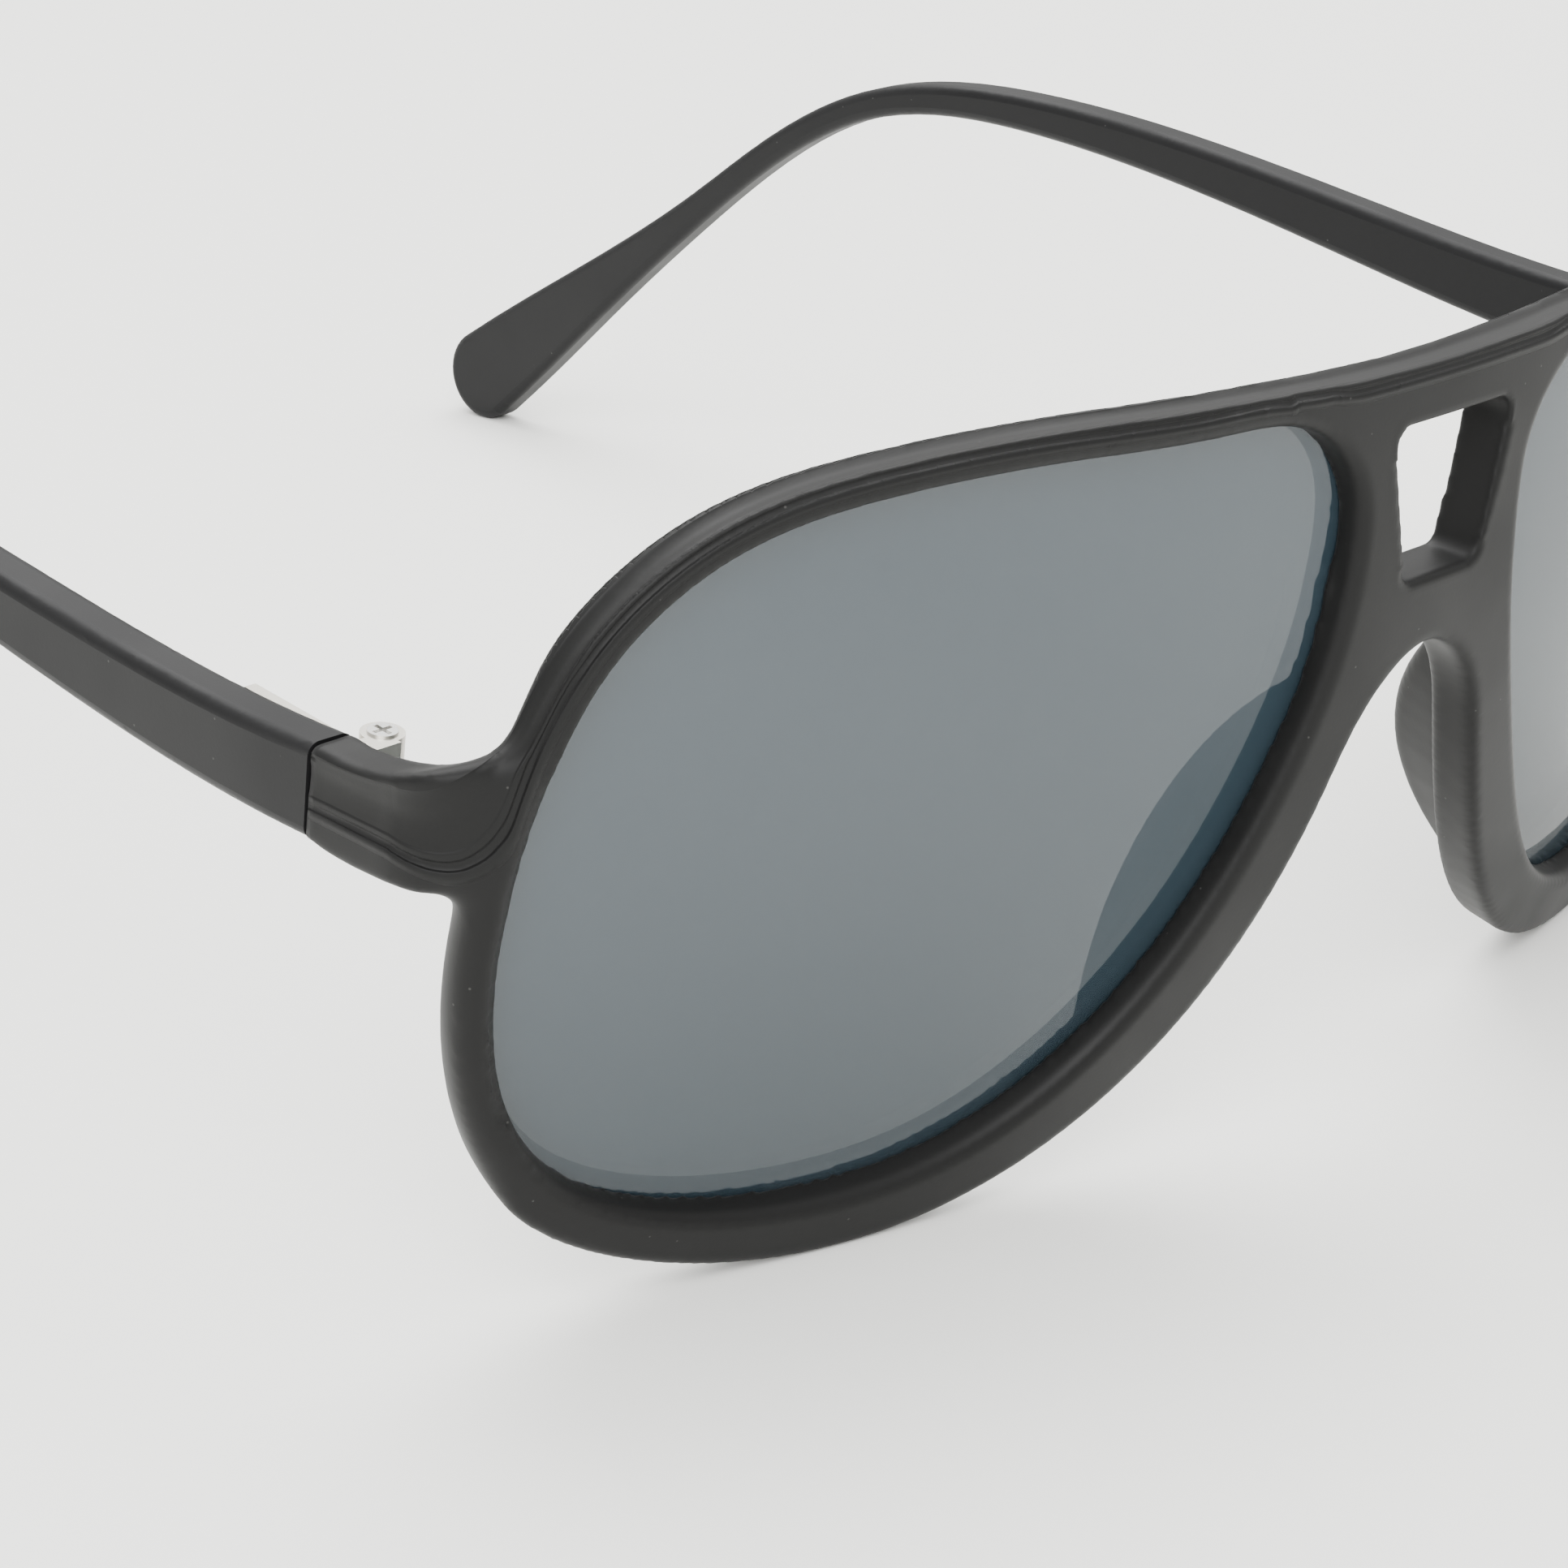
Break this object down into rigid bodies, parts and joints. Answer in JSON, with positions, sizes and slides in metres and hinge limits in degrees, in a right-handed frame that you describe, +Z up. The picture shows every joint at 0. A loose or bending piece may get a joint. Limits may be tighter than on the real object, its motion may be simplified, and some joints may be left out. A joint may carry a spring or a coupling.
{
  "type": "aviator sunglasses",
  "caption": "Folding aviator sunglasses: moulded full-rim front with a double bridge, two tinted lenses and hinged temples that curve down behind the ears.",
  "frame": {"origin": "bottom centre of the bounding box of the open glasses as they stand on the rims and temple tips", "axes": "+Z up, +Y from the front towards the ears, +X towards the end piece called right"},
  "size_m": [0.137, 0.165, 0.0527],
  "materials": {
    "front_plastic": "soft-touch matte, injection moulded",
    "temple_plastic": "soft-touch matte, injection moulded",
    "lens_tint": "polished grey tint",
    "hinge_metal": "stamped nickel silver, tumbled",
    "screw_steel": "turned, bright",
    "core_wire": "drawn nickel silver wire"
  },
  "bodies": {
    "front": {"front_frame": "front_plastic", "lens_right": "lens_tint", "lens_left": "lens_tint", "hinge_front_leaf_right": "hinge_metal", "hinge_screw_right": "screw_steel", "leaf_screw_front_right_1": "screw_steel", "leaf_screw_front_right_2": "screw_steel", "hinge_front_leaf_left": "hinge_metal", "hinge_screw_left": "screw_steel", "leaf_screw_front_left_1": "screw_steel", "leaf_screw_front_left_2": "screw_steel"},
    "temple_right": {"temple_right": "temple_plastic", "temple_core_right": "core_wire", "hinge_temple_leaf_right": "hinge_metal", "leaf_screw_temple_right_1": "screw_steel", "leaf_screw_temple_right_2": "screw_steel"},
    "temple_left": {"temple_left": "temple_plastic", "temple_core_left": "core_wire", "hinge_temple_leaf_left": "hinge_metal", "leaf_screw_temple_left_1": "screw_steel", "leaf_screw_temple_left_2": "screw_steel"}
  },
  "joints": [
    {"name": "hinge_right", "type": "hinge", "parent": "front", "child": "temple_right", "pos_m": [0.0632, -0.05588, 0.03415], "axis": [0, -0.1129, 0.9936], "range_deg": [0, 91.5]},
    {"name": "hinge_left", "type": "hinge", "parent": "front", "child": "temple_left", "pos_m": [-0.0632, -0.05588, 0.03415], "axis": [0, 0.1129, -0.9936], "range_deg": [0, 87]}
  ]
}
